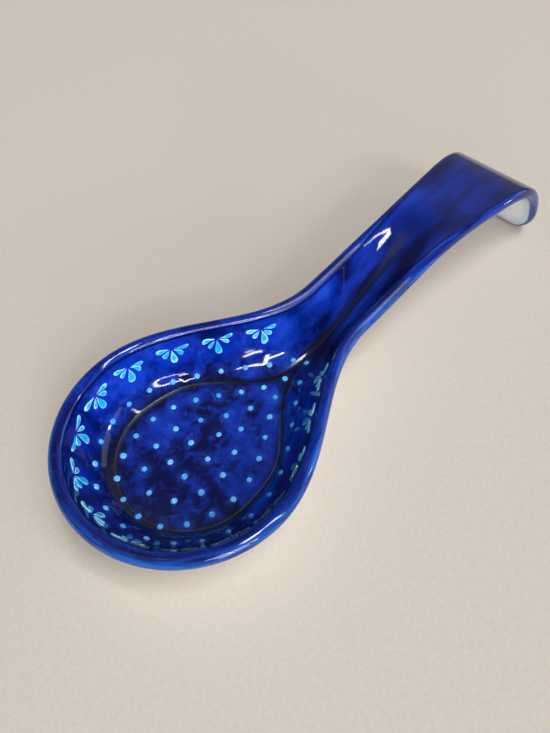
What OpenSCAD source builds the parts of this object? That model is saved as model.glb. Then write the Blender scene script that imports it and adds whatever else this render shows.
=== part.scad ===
// Spoon rest in glazed pottery. A teardrop bowl runs out through a gutter
// into an arched handle, and the end of the handle hooks down to the table.
// The origin is on the table under the middle of the bowl's round front.
// The handle runs along +X and +Z is up.

/* [Bowl] */
// Radius of the round front of the bowl, to the outside of the lip
bowl_r = 46; // [42:0.5:52]
// Depth of the bowl, from the middle of the lip to the middle of the floor
bowl_depth = 21; // [16:0.5:24]
// Share of the half width that is flat floor, at the round front
floor_share = 0.68; // [0.66:0.01:0.75]
// How far behind the middle of the bowl the floor starts to narrow
floor_start = 16; // [8:1:24]
// How far behind the middle of the bowl the flat floor has run out
floor_end = 60; // [50:1:80]
// How hollow the wall is, 1 for a straight wall, 2 for a round one
wall_power_share = 1.9; // [1.5:0.05:2.3]

/* [Gutter] */
// Where the bowl starts to grow shallow
fade_start = 41; // [36:1:50]
// Where the gutter has run out into the handle
fade_end = 147; // [130:1:160]
// Width over the neck of the handle
neck_w = 32; // [26:0.5:38]
// Length over which the bowl draws in to the neck
shoulder_l = 78; // [70:1:90]

/* [Handle] */
// Width over the wide end of the handle
handle_w = 44; // [36:0.5:50]
// Where the handle starts to widen again
flare_start = 116; // [100:1:130]
// Where the handle is at its widest
flare_end = 207; // [190:1:210]
// Steepest rise of the handle, in degrees
rise_a = 11.8; // [9:0.1:13]
// Where the handle leaves the level of the rim
rise_start = 31; // [30:1:40]
// Where the handle is at its steepest
rise_full = 103; // [90:1:115]
// Where the handle is level again
rise_end = 163; // [150:1:175]

/* [Hook] */
// Where the handle starts to bend down, along its length
hook_start = 162; // [150:1:168]
// Length of the bend
hook_l = 56; // [50:1:62]
// Slope of the hook below the bend, in degrees
hook_a = 65; // [60:1:75]
// Length of the rounded corners of the tip, along the hook
corner_l = 15; // [10:0.5:18]
// Width of the rounded corners of the tip, across the hook
corner_w = 8; // [5:0.5:12]

/* [Clay and glaze] */
// Thickness of the clay wall
clay_t = 4.6; // [4:0.1:5.4]
// Thickness of a coat of glaze
glaze_t = 0.4; // [0.3:0.05:0.6]
// How far round the lip the blue coat runs, in degrees from its inner side
wrap_a = 150; // [130:1:160]
// Bare line between the two coats
coat_gap = 0.3; // [0.2:0.05:0.5]
// Height up to which the coats are wiped off the tip
wipe_h = 0.5; // [0.4:0.05:0.8]

/* [Foot ring] */
// Height of the foot ring
foot_h = 2.3; // [1.8:0.1:4]
// Outer radius of the foot ring
foot_r = 27; // [24:0.5:27.5]
// Width of the foot ring across its face
foot_w = 5; // [4:0.5:7]
// Slant on both edges of the foot ring's face
foot_edge = 0.6; // [0.3:0.1:0.9]
// Bare clay left beside the foot ring when the coat is wiped back
foot_wipe = 0.4; // [0.3:0.1:1]

/* [Dots and sprigs] */
// Diameter of one dot of slip
dot_d = 2.6; // [2.2:0.1:3.4]
// Height of the raised edge of a dot
dot_h = 0.7; // [0.5:0.05:1]
// Number of sprigs along each side, beside the one at the front
side_sprigs = 7; // [4:1:8]
// How far behind the middle of the bowl the last sprig stands
sprig_end = 52; // [44:1:58]
// Distance from the lip to the root of a sprig, down the wall
sprig_drop = 4.75; // [3.5:0.25:6]
// Length of the middle petal of a sprig
petal_l = 7; // [6:0.1:7.5]
// Thickness of a petal
petal_t = 0.5; // [0.4:0.05:0.8]
// Room under dots and petals, which takes up the curve of the wall
slip_seat = 0.3; // [0.25:0.05:0.4]

/* [Hidden] */

// Offsets of the faces from the middle of the clay
clay_e = clay_t / 2;
coat_e = clay_e + glaze_t;
rim_z = foot_h + clay_e + bowl_depth;
hook_end = hook_start + hook_l;
stop_r = foot_r + foot_wipe;

// Least share of a rib that its inner band takes, where no floor is left
least_floor_share = 0.2;

// Counts of ribs: round the front, over the foot, along the gutter, in the bend,
// in a corner of the tip and along the straight end of the tip
front_n = 11;
foot_n = 5;
gutter_n = 12;
bend_n = 9;
corner_n = 5;
straight_n = 2;
side_n = foot_n + gutter_n + bend_n;
half_n = front_n + side_n + corner_n + straight_n;
ribs_n = 2 * half_n;

// Counts of rows: up the wall and round the lip, and steps along the path
wall_n = 6;
lip_n = 5;
path_n = 218;

// A soft step from 0 to 1 between two places
function ease(u) = (1 - cos(180 * min(max(u, 0), 1))) / 2;
function ramp(t, from, to) = ease((t - from) / (to - from));

// The path is the middle line of the clay, seen from the side. Its slope is a
// rule, and its points are the sums of short steps along that slope. Below the
// bend it runs straight until the tip meets the table.
function slope(t) =
    rise_a * (ramp(t, rise_start, rise_full) - ramp(t, rise_full, rise_end))
    - hook_a * ramp(t, hook_start, hook_end);
path_step = hook_end / path_n;
function stride(i) = let (a = slope((i + i + 1) / 2 * path_step))
    path_step * [cos(a), sin(a)];
bend_path = [for (i = 0, p = [0, rim_z]; i <= path_n; p = p + stride(i), i = i + 1)
    [i * path_step, p[0], p[1]]];
bend_foot = bend_path[path_n];
tail_l = (bend_foot[2] - clay_e) / sin(hook_a);
path_end = hook_end + tail_l;
path_x = concat([for (p = bend_path) [p[0], p[1]]],
                [[path_end, bend_foot[1] + tail_l * cos(hook_a)]]);
path_z = concat([for (p = bend_path) [p[0], p[2]]], [[path_end, clay_e]]);
tip_t = path_end - corner_l;

// Directions at a place on the path: along it, and square to it
function along(t) = let (a = slope(t)) [cos(a), 0, sin(a)];
function above(t) = let (a = slope(t)) [-sin(a), 0, cos(a)];
function on_path(t) = t < 0 ? [t, 0, rim_z] : [lookup(t, path_x), 0, lookup(t, path_z)];

// Half width, depth and floor share of the cross section at a place
function half_w(t) = (neck_w / 2)
    + (bowl_r - neck_w / 2) * (1 - ramp(t, 0, shoulder_l))
    + (handle_w - neck_w) / 2 * ramp(t, flare_start, flare_end) - coat_e;
function depth(t) = bowl_depth * (1 - ramp(t, fade_start, fade_end));
function floor_at(t) = floor_share * (1 - ramp(t, floor_start, floor_end));
function climb(t, q) = let (f = floor_at(t)) min(max((q - f) / (1 - f), 0), 1);
function dish(t, q) = -depth(t) * (1 - pow(climb(t, q), wall_power_share));
function dish_slope(t, q) = depth(t) * wall_power_share / (1 - floor_at(t))
    * pow(climb(t, q), wall_power_share - 1);

// A rib is one cross section from the middle line out to the lip. It is held as
// the place of its hub, its edge and its direction out of the lip, in the flat.
function rib_to(hub, edge, out) = [hub, edge, out];
function front_rib(a) = let (d = [cos(a), sin(a)]) rib_to(0, (bowl_r - coat_e) * d, d);
function side_rib(t) = rib_to(t, [t, half_w(t)], [0, 1]);
function corner_rib(a) = let (w = half_w(tip_t), n = [sin(a) / corner_l, cos(a) / corner_w])
    rib_to(tip_t, [tip_t + corner_l * sin(a), w - corner_w + corner_w * cos(a)], n / norm(n));
function straight_rib(share) =
    rib_to(tip_t, [path_end, (half_w(tip_t) - corner_w) * (1 - share)], [1, 0]);
function spread(n, from, to) = [for (i = [1:n]) from + (to - from) * i / n];

half_ribs = concat(
    [for (i = [0:front_n]) front_rib(180 - 90 * i / front_n)],
    [for (t = spread(foot_n, 0, stop_r)) side_rib(t)],
    [for (t = spread(gutter_n, stop_r, hook_start)) side_rib(t)],
    [for (t = spread(bend_n, hook_start, tip_t)) side_rib(t)],
    [for (a = spread(corner_n, 0, 90)) corner_rib(a)],
    [for (s = spread(straight_n, 0, 1)) straight_rib(s)]);
function mirrored(rib) = [rib[0], [rib[1][0], -rib[1][1]], [rib[2][0], -rib[2][1]]];
ribs = concat(half_ribs, [for (k = [half_n - 1:-1:1]) mirrored(half_ribs[k])]);

// Point and directions on a rib, at a share of its length
function rib_l(rib) = norm(rib[1] - [rib[0], 0]);
function rib_place(rib, q) = [rib[0], 0] + (rib[1] - [rib[0], 0]) * q;
function outward(rib, q) = let (p = rib_place(rib, q), d = rib[2]) d[0] * along(p[0]) + [0, d[1], 0];
function steep(rib, q) = dish_slope(rib[0], q) / rib_l(rib);
function middle(rib, q) = let (p = rib_place(rib, q))
    on_path(p[0]) + [0, p[1], 0] + dish(rib[0], q) * above(p[0]);
function face_dir(rib, q) = let (s = steep(rib, q))
    (above(rib_place(rib, q)[0]) - s * outward(rib, q)) / norm([1, s]);
function edge_dir(rib) = let (s = steep(rib, 1))
    (outward(rib, 1) + s * above(rib[1][0])) / norm([1, s]);
function at(rib, q, off) = middle(rib, q) + off * face_dir(rib, q);
function lip(rib, a, off) = middle(rib, 1)
    + off * (cos(a) * face_dir(rib, 1) + sin(a) * edge_dir(rib));

// Shares of a rib where the rows run: the edge of the floor, then up the wall
function row_floor(rib) = max(floor_at(rib[0]), least_floor_share);
function row_share(rib, i) = let (f = row_floor(rib)) f + (1 - f) * i / wall_n;

// Where the coats end on the lip. A coat that would come near the table is
// wiped off, on both sides of the lowest line of the lip.
function low_z(rib) = [face_dir(rib, 1)[2], edge_dir(rib)[2]];
function low_a(rib) = let (z = low_z(rib)) atan2(-z[1], -z[0]);
function wiped(rib) = middle(rib, 1)[2] - coat_e * norm(low_z(rib)) < wipe_h;
function wipe_a(rib) = acos((middle(rib, 1)[2] - wipe_h) / (coat_e * norm(low_z(rib))));
gap_a = coat_gap / coat_e * 180 / PI;
function blue_a(rib) = wiped(rib) ? low_a(rib) - wipe_a(rib) : wrap_a;
function bare_a(rib) = wiped(rib) ? low_a(rib) : wrap_a + gap_a / 2;
function white_a(rib) = wiped(rib) ? low_a(rib) + wipe_a(rib) : wrap_a + gap_a;

// Rows of points round all ribs, on the upper side, the lip and the underside
function hub_row(off) = [for (r = ribs) at(r, 0, off)];
function wall_row(i, off) = [for (r = ribs) at(r, row_share(r, i), off)];
function blue_row(i, off) = [for (r = ribs) lip(r, blue_a(r) * i / lip_n, off)];
function bare_row(off) = [for (r = ribs) lip(r, bare_a(r), off)];
function white_row(off) = [for (r = ribs) lip(r, white_a(r), off)];
function top_rows(off) = concat([for (i = [0:wall_n]) wall_row(i, off)],
                                [for (i = [1:lip_n]) blue_row(i, off)]);
function under_rows(off) = concat([white_row(off)],
                                  [for (i = [wall_n:-1:0]) wall_row(i, -off)]);

// Numbers of the points in a row. In a hub row, ribs that share one hub use the
// point of one of them: the front ribs, the tip ribs, and each rib and its mirror.
function mate(k) = min(k, ribs_n - k);
function row(i) = [for (k = [0:ribs_n - 1]) i * ribs_n + k];
function hubs(i) = [for (k = [0:ribs_n - 1])
    i * ribs_n + min(max(mate(k), front_n), front_n + side_n)];

// Triangles between two rows, turned over for the inner face of a coat
function band(a, b, inner = false) = [for (k = [0:ribs_n - 1])
    let (n = (k + 1) % ribs_n, t = [[a[k], b[k], b[n]], [a[k], b[n], a[n]]])
    for (f = t) inner ? [f[0], f[2], f[1]] : f];
function bands(rows, inner = false) = [for (i = [0:len(rows) - 2])
    each band(rows[i], rows[i + 1], inner)];
function whole(faces) = [for (f = faces)
    if (f[0] != f[1] && f[1] != f[2] && f[2] != f[0]) f];
function joined(rows) = [for (r = rows) each r];

// The pressed clay, which is bowl, lip, gutter, handle and hook in one
module clay_body() {
    rows = concat([hub_row(clay_e)], top_rows(clay_e), [bare_row(clay_e)],
                  under_rows(clay_e), [hub_row(-clay_e)]);
    last = len(rows) - 1;
    color("ivory")
        polyhedron(joined(rows), whole(bands(concat(
            [hubs(0)], [for (i = [1:last - 1]) row(i)], [hubs(last)]))), convexity = 8);
}

// The blue coat lies face to face on the upper side of the clay and on the lip
module blue_glaze() {
    outer = concat([hub_row(coat_e)], top_rows(coat_e));
    inner = concat([hub_row(clay_e)], top_rows(clay_e));
    n = len(outer);
    outer_rows = concat([hubs(0)], [for (i = [1:n - 1]) row(i)]);
    inner_rows = concat([hubs(n)], [for (i = [n + 1:n + n - 1]) row(i)]);
    color("midnightblue")
        polyhedron(joined(concat(outer, inner)), whole(concat(
            bands(outer_rows), bands(inner_rows, true), band(row(n - 1), row(n + n - 1)))),
            convexity = 8);
}

// Share of a rib at which the coat stops short of the foot ring, nothing beyond it
function stop_share(rib) = rib[0] >= stop_r ? 0
    : sqrt(stop_r * stop_r - rib[0] * rib[0]) / rib_l(rib);
foot_k = front_n + foot_n;
function stops(i) = [for (k = [0:ribs_n - 1])
    i * ribs_n + (mate(k) >= foot_k ? min(mate(k), front_n + side_n) : k)];

// The clear white coat on the underside, open round the foot ring, and the
// separate round of the same coat inside the ring
module white_glaze() {
    function stop_row(off) = [for (r = ribs) at(r, stop_share(r), off)];
    outer = concat(under_rows(coat_e), [stop_row(-coat_e)]);
    inner = concat(under_rows(clay_e), [stop_row(-clay_e)]);
    n = len(outer);
    outer_rows = concat([for (i = [0:n - 2]) row(i)], [stops(n - 1)]);
    inner_rows = concat([for (i = [n:n + n - 2]) row(i)], [stops(n + n - 1)]);
    foot_wall = [for (k = [0:ribs_n - 1])
        let (m = (k + 1) % ribs_n, a = stops(n - 1), b = stops(n + n - 1))
        if (mate(k) <= foot_k && mate(m) <= foot_k)
            each [[a[k], b[k], b[m]], [a[k], b[m], a[m]]]];
    color("whitesmoke") {
        polyhedron(joined(concat(outer, inner)), whole(concat(
            bands(outer_rows), bands(inner_rows, true), band(row(n), row(0)), foot_wall)),
            convexity = 8);
        translate([0, 0, foot_h - glaze_t])
            cylinder(r = foot_r - foot_w - foot_wipe, h = glaze_t, $fn = 96);
    }
}

// The turned foot ring, seated flat on the underside of the clay
module foot_ring() {
    inner_r = foot_r - foot_w;
    color("antiquewhite")
        rotate_extrude($fn = 96)
            polygon([[inner_r, foot_h], [inner_r, foot_edge], [inner_r + foot_edge, 0],
                     [foot_r - foot_edge, 0], [foot_r, foot_edge], [foot_r, foot_h]]);
}

// A place in the flat becomes a point on the coat, and a frame square to the coat
probe = bowl_r / 1000;
function rib_at(p) = p[0] >= 0 ? side_rib(p[0]) : front_rib(atan2(abs(p[1]), p[0]));
function reach(rib, p) = norm([p[0] - rib[0], p[1]]) / rib_l(rib);
function coat_point(p) = let (rib = rib_at(p), c = at(rib, reach(rib, p), coat_e))
    [c[0], p[1] < 0 ? -c[1] : c[1], c[2]];
function coat_up(p) = let (
    a = coat_point(p + [probe, 0]) - coat_point(p - [probe, 0]),
    b = coat_point(p + [0, probe]) - coat_point(p - [0, probe]),
    n = cross(a, b)) n / norm(n);
module seated(point, up) {
    translate(point + slip_seat * up)
        rotate([0, acos(up[2]), atan2(up[1], up[0])])
            children();
}

// One dot of slip, a low round with a raised edge and a sunk middle
dot_profile_shares = [[0, 0], [1, 0], [0.96, 0.5], [0.8, 0.95], [0.6, 1],
                      [0.4, 0.8], [0.2, 0.65], [0, 0.6]];
module dot() {
    rotate_extrude($fn = 32)
        polygon([for (s = dot_profile_shares) [s[0] * dot_d / 2, s[1] * dot_h]]);
}

// The dots stand in rings that repeat the bowl's teardrop. A ring is a half oval
// at the front and two flanks that run to a point behind. Its reach to the front,
// to the sides and to the point are shares of the bowl's radius. The phase shifts
// the dots along the ring, and the outer ring has no dot on its point.
ring_front_shares = [0.8, 0.64, 0.43, 0.22];
ring_side_shares = [0.76, 0.5, 0.3, 0.12];
ring_point_shares = [1.45, 1.06, 0.65, 0.29];
ring_phase_shares = [0.15, 0, 0, 0];
ring_steps = [27, 21, 12, 5];
flank_power_share = 1.5;
flank_n = 24;
function flank(x, side, point) = side * pow(max(cos(90 * x / point), 0), flank_power_share);
function ring_line(front, side, point) = concat(
    [for (i = [flank_n:-1:1]) let (x = point * i / flank_n) [x, flank(x, side, point)]],
    [for (i = [0:flank_n]) let (a = 90 + 180 * i / flank_n) [front * cos(a), side * sin(a)]],
    [for (i = [1:flank_n]) let (x = point * i / flank_n) [x, -flank(x, side, point)]]);
function run_lengths(line) = [for (i = 0, s = 0; i < len(line);
    s = s + (i + 1 < len(line) ? norm(line[i + 1] - line[i]) : 0), i = i + 1) s];
function ring_places(j, first) = let (
    line = ring_line(ring_front_shares[j] * bowl_r, ring_side_shares[j] * bowl_r,
                     ring_point_shares[j] * bowl_r),
    s = run_lengths(line),
    xs = [for (i = [0:len(line) - 1]) [s[i], line[i][0]]],
    ys = [for (i = [0:len(line) - 1]) [s[i], line[i][1]]],
    pitch = s[len(s) - 1] / ring_steps[j])
    [for (i = [first:ring_steps[j] - 1]) let (d = (i + ring_phase_shares[j]) * pitch)
        [lookup(d, xs), lookup(d, ys)]];
module dots(places) {
    color("lightskyblue")
        for (p = places)
            seated(coat_point(p), coat_up(p))
                dot();
}
module floor_dots() {
    dots([for (j = [1:len(ring_steps) - 1]) each ring_places(j, 0)]);
}
module wall_dots() {
    dots(ring_places(0, 1));
}

// A sprig is five petals that meet at a root near the lip: a broad one down the
// wall, a short one on each side of it and a long one on each side along the lip.
// Each petal starts a little way off the root.
petal_turns = [0, 50, -50, 90, -90];
petal_l_shares = [1, 0.56, 0.56, 0.88, 0.88];
petal_w_shares = [0.46, 0.3, 0.3, 0.3, 0.3];
petal_gap_shares = [0.09, 0.18, 0.18, 0.12, 0.12];

// The outline of a petal is a drop: a point at the root and a full round end.
// The fullness is the largest value of its rule, so that w is the true width.
petal_n = 20;
drop_rule_full = 0.65;
drop_power_share = 2;
function drop_half(a) = sin(a) * pow(sin(a / 2), drop_power_share) / drop_rule_full;
module petal(l, w) {
    linear_extrude(height = petal_t)
        polygon([for (i = [0:petal_n - 1]) let (a = 360 * i / petal_n)
            [-l / 2 * cos(a), w / 2 * drop_half(a)]]);
}

// Places on the wall are held as a length along the rim and a drop from the lip
quarter_l = (bowl_r - coat_e) * PI / 2;
function rib_along(u) = u >= 0 ? side_rib(u) : front_rib(90 - 90 * u / quarter_l);
function wall_point(u, drop) = let (rib = rib_along(u), s = steep(rib, 1))
    at(rib, 1 - drop / (rib_l(rib) * norm([1, s])), coat_e);

// The petal lies in the plane of the wall at its own middle. The offsets from the
// root are taken square to the rim line, which narrows behind the bowl.
module placed_petal(u, turn, l, w, gap) {
    root = wall_point(u, sprig_drop);
    rim_run = (wall_point(u + probe, sprig_drop) - root) / probe;
    wall_run = (wall_point(u, sprig_drop + probe) - root) / probe;
    side = rim_run / norm(rim_run);
    skew = wall_run * side;
    off = (gap + l / 2) * cos(turn) / norm(wall_run - skew * side);
    pu = u + ((gap + l / 2) * sin(turn) - off * skew) / norm(rim_run);
    pd = sprig_drop + off;
    p = wall_point(pu, pd);
    across = wall_point(pu + probe, pd) - p;
    up = cross(wall_point(pu, pd + probe) - p, across)
        / norm(cross(wall_point(pu, pd + probe) - p, across));
    down = cross(across, up) / norm(across);
    east = cos(turn) * down + sin(turn) * across / norm(across);
    north = cross(up, east);
    q = p + slip_seat * up;
    multmatrix([[east[0], north[0], up[0], q[0]],
                [east[1], north[1], up[1], q[1]],
                [east[2], north[2], up[2], q[2]],
                [0, 0, 0, 1]])
        petal(l, w);
}
module sprig(u) {
    for (i = [0:len(petal_turns) - 1])
        placed_petal(u, petal_turns[i], petal_l * petal_l_shares[i],
                     petal_l * petal_w_shares[i], petal_l * petal_gap_shares[i]);
}

// The sprigs are evenly spaced along the rim line, which is longer than its run
// along the handle where the bowl narrows
rim_n = 12;
rim_line = [for (i = [0:rim_n]) let (t = sprig_end * i / rim_n) [t, half_w(t)]];
rim_lengths = run_lengths(rim_line);
rim_places = [for (i = [0:rim_n]) [rim_lengths[i], rim_line[i][0]]];
module sprig_petals() {
    sprig_step = (quarter_l + rim_lengths[rim_n]) / side_sprigs;
    color("paleturquoise") {
        sprig(-quarter_l);
        for (i = [1:side_sprigs]) {
            s = i * sprig_step - quarter_l;
            u = s < 0 ? s : lookup(s, rim_places);
            sprig(u);
            mirror([0, 1, 0])
                sprig(u);
        }
    }
}

clay_body();
foot_ring();
blue_glaze();
white_glaze();
floor_dots();
wall_dots();
sprig_petals();
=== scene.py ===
# %% [markdown]
# # A spoon rest in blue glazed pottery
#
# The object is one piece of pressed clay. A deep teardrop bowl takes the head of a
# cooking spoon, a gutter takes its neck, and an arched handle hooks down to the table.
# The upper side wears a cobalt glaze, the underside a clear one over white, and the
# decoration is raised slip: dots on the floor of the bowl and small sprigs under the lip.
#
# The construction model is the fixed frame. Everything here is made round it, in the
# same place and at the same size, so nothing has to be fitted afterwards.

# %% Load the construction model
import math

import bmesh
import bpy
import numpy as np
from mathutils import Matrix, Vector
from mathutils.bvhtree import BVHTree


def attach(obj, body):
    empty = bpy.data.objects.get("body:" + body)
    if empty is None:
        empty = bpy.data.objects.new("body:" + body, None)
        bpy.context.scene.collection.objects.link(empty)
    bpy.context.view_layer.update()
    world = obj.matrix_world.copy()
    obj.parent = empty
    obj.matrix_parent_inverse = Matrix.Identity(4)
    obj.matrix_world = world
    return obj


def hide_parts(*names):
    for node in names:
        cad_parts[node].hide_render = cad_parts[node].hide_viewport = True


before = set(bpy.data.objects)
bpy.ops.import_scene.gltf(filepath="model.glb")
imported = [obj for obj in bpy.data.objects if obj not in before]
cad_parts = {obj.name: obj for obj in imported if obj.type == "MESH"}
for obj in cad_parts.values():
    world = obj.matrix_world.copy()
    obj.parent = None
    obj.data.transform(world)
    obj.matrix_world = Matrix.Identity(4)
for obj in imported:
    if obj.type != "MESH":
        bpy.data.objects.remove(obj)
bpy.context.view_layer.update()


print("nodes:", sorted(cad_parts))

# %% [markdown]
# ## The driving sizes
#
# A potter would write these sizes on the mould: the bowl, the handle, how steeply it
# rises and how it hooks down. They are the real sizes in millimetres, and every curve
# below is worked out from them. They agree with the construction model, but for the foot
# of the bowl's wall. The way that the wall mirrors a window showed that it starts with a
# small bend, 1 to 2 mm further in, so that its hollow is fuller there by up to 1 mm. The
# dark line in the glaze stays where it was, just above that bend.

# %% Sizes of the pressed clay
bowl_r = 46
bowl_depth = 21
floor_share = 0.64
line_share = 0.68
floor_start, floor_end = 16, 60
wall_power = 2.3
bend_share, bend_width = 0.21, 0.11
fade_start, fade_end = 41, 147
neck_w, shoulder_l = 32, 78
handle_w = 44
flare_start, flare_end = 116, 207
rise_a = math.radians(11.8)
rise_start, rise_full, rise_end = 31, 103, 163
hook_start, hook_l = 162, 56
hook_a = math.radians(65)
corner_l, corner_w = 15, 8

# %% Sizes of the coats and of the foot
clay_t, glaze_t = 4.6, 0.4
foot_h, foot_r, foot_w = 2.3, 27, 5
foot_wipe = 0.4
wipe_h = 0.5
wrap_a = math.radians(150)
clay_e = clay_t / 2
coat_e = clay_e + glaze_t
rim_z = foot_h + clay_e + bowl_depth
stop_r = foot_r + foot_wipe
print("lip at", rim_z, "mm, wall with both coats", 2 * coat_e, "mm")

# %% [markdown]
# ## The middle line of the clay
#
# Seen from the side, the clay follows one soft line: level along the bowl, up into the
# arch, over, and down the hook. It could be drawn as a curve with handles. Here its
# slope is a rule instead, and its points are the sums of short steps along that slope,
# because then the arch stays smooth whatever size is changed.

# %% The slope and the line
def ease(u):
    return (1 - np.cos(np.pi * np.clip(u, 0, 1))) / 2


def ramp(t, start, end):
    return ease((t - start) / (end - start))


def slope(t):
    rise = ramp(t, rise_start, rise_full) - ramp(t, rise_full, rise_end)
    return rise_a * rise - hook_a * ramp(t, hook_start, hook_start + hook_l)


path_n = 872
hook_end = hook_start + hook_l
step = hook_end / path_n
step_slopes = slope((np.arange(path_n) + 0.5) * step)
line_x = np.append(0, np.cumsum(step * np.cos(step_slopes)))
line_z = rim_z + np.append(0, np.cumsum(step * np.sin(step_slopes)))
tail_l = (line_z[-1] - clay_e) / math.sin(hook_a)
path_end = hook_end + tail_l
tip_t = path_end - corner_l
line_t = np.append(np.arange(path_n + 1) * step, path_end)
line_x = np.append(line_x, line_x[-1] + tail_l * math.cos(hook_a))
line_z = np.append(line_z, clay_e)
print("line is", round(path_end, 1), "mm long and peaks at", round(line_z.max(), 1), "mm")

# %% Directions along the line and square to it
sideways = np.array([0, 1, 0])


def along(t):
    a = slope(t)
    return np.stack([np.cos(a), 0 * a, np.sin(a)], -1)


def above(t):
    a = slope(t)
    return np.stack([-np.sin(a), 0 * a, np.cos(a)], -1)


def on_line(t):
    x = np.where(t < 0, t, np.interp(t, line_t, line_x))
    return np.stack([x, 0 * x, np.interp(t, line_t, line_z)], -1)


# %% [markdown]
# ## The cross section
#
# Across the line, the clay is flat on the floor of the bowl, bends up within a couple of
# millimetres and then climbs in a hollow wall to the lip. Behind the bowl the floor
# narrows to nothing and the hollow grows shallow, which makes the gutter with its middle
# line. Soft steps give the width, the depth, the floor and the bend.

# %% Width, depth and wall
def half_width(t):
    drawn_in = (bowl_r - neck_w / 2) * (1 - ramp(t, 0, shoulder_l))
    flare = (handle_w - neck_w) / 2 * ramp(t, flare_start, flare_end)
    return neck_w / 2 + drawn_in + flare - coat_e


def depth(t):
    return bowl_depth * (1 - ramp(t, fade_start, fade_end))


def narrowing(t):
    return 1 - ramp(t, floor_start, floor_end)


def floor_at(t):
    return floor_share * narrowing(t)


def climb(t, share):
    f = floor_at(t)
    return np.clip((share - f) / (1 - f), 0, 1)


full_rise = 1 - bend_share * bend_width / 2


def dish(t, share):
    v = climb(t, share)
    turn = np.minimum(v / bend_width, 1)
    bent = np.where(v < bend_width, v / 2 - bend_width / (2 * np.pi) * np.sin(np.pi * turn),
                    v - bend_width / 2)
    rise = bend_share * bent + (1 - bend_share) * v ** wall_power
    return -depth(t) * (1 - rise / full_rise)


def dish_slope(t, share):
    v = climb(t, share)
    hollow = (1 - bend_share) * wall_power * v ** (wall_power - 1)
    steep = (bend_share * ease(v / bend_width) + hollow) / full_rise
    return depth(t) / (1 - floor_at(t)) * steep


# %% [markdown]
# ## Ribs
#
# A boat builder would set up ribs and lay the skin over them, and that is done here.
# A rib runs from the middle line out to the lip. Round the front of the bowl the ribs
# fan out from one hub, along the sides they stand square to the line, and at the tip
# they fan out again round the two corners. All points of every coat lie on these ribs.

# %% One set of ribs
class Ribs:
    """Cross sections, held flat as hub, edge and direction out of the lip."""

    def __init__(self, hub, edge, out):
        self.hub, self.edge, self.out = hub, edge, out
        self.length = np.hypot(edge[:, 0] - hub, edge[:, 1])

    def mirrored(self):
        """The ribs of the other side, in reverse, without the first and the last."""
        flip = np.array([1, -1])
        return Ribs(self.hub[-2:0:-1], self.edge[-2:0:-1] * flip, self.out[-2:0:-1] * flip)

    def place(self, share):
        return self.hub + (self.edge[:, 0] - self.hub) * share, self.edge[:, 1] * share

    def steep(self, share):
        return (dish_slope(self.hub, share) / self.length)[:, None]

    def outward(self, share):
        return along(self.place(share)[0]) * self.out[:, :1] + sideways * self.out[:, 1:]

    def middle(self, share):
        t, y = self.place(share)
        lift = dish(self.hub, share)[:, None] * above(t)
        return on_line(t) + lift + y[:, None] * sideways

    def face(self, share):
        s = self.steep(share)
        return (above(self.place(share)[0]) - s * self.outward(share)) / np.hypot(1, s)

    def edge_out(self):
        s = self.steep(1)
        return (self.outward(1) + s * above(self.place(1)[0])) / np.hypot(1, s)

    def at(self, share, offset):
        return self.middle(share) + offset * self.face(share)

    def lip(self, angle, offset):
        turn = np.broadcast_to(angle, self.hub.shape)[:, None]
        return self.middle(1) + offset * (np.cos(turn) * self.face(1)
                                          + np.sin(turn) * self.edge_out())


# %% Ribs for each stretch of the outline
def front_ribs(a):
    d = np.stack([np.cos(a), np.sin(a)], -1)
    return Ribs(0 * a, (bowl_r - coat_e) * d, d)


def side_ribs(t):
    return Ribs(t, np.stack([t, half_width(t)], -1), np.stack([0 * t, 0 * t + 1], -1))


def corner_ribs(a):
    w = half_width(tip_t)
    edge = np.stack([tip_t + corner_l * np.sin(a), w - corner_w + corner_w * np.cos(a)], -1)
    out = np.stack([np.sin(a) / corner_l, np.cos(a) / corner_w], -1)
    return Ribs(0 * a + tip_t, edge, out / np.linalg.norm(out, axis=1)[:, None])


def straight_ribs(share):
    w = half_width(tip_t) - corner_w
    edge = np.stack([0 * share + path_end, w * (1 - share)], -1)
    return Ribs(0 * share + tip_t, edge, np.stack([0 * share + 1, 0 * share], -1))


# %% All ribs in one ring
front_n, foot_n, gutter_n, bend_n, corner_n, straight_n = 60, 24, 120, 80, 24, 10


def spread(n, start, end):
    return start + (end - start) * np.arange(1, n + 1) / n


def joined(sets):
    return Ribs(*(np.concatenate([getattr(s, part) for s in sets])
                  for part in ("hub", "edge", "out")))


one_side = joined([
    front_ribs(np.radians(180 - 90 * np.arange(front_n + 1) / front_n)),
    side_ribs(spread(foot_n, 0, stop_r)),
    side_ribs(spread(gutter_n, stop_r, hook_start)),
    side_ribs(spread(bend_n, hook_start, tip_t)),
    corner_ribs(np.radians(spread(corner_n, 0, 90))),
    straight_ribs(spread(straight_n, 0, 1))])
ribs = joined([one_side, one_side.mirrored()])
ribs_n = len(ribs.hub)
print(ribs_n, "ribs")

# %% [markdown]
# ## Where the coats end
#
# The blue coat is poured inside and runs over the lip, and the white coat comes up from
# below to meet it. Near the table the potter wipes both off, so that the tip doesn't
# stick to the kiln shelf. The wiped strip is found from the lowest line of the lip, and
# its two edges run back to the meeting line over a few millimetres of height.

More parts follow.
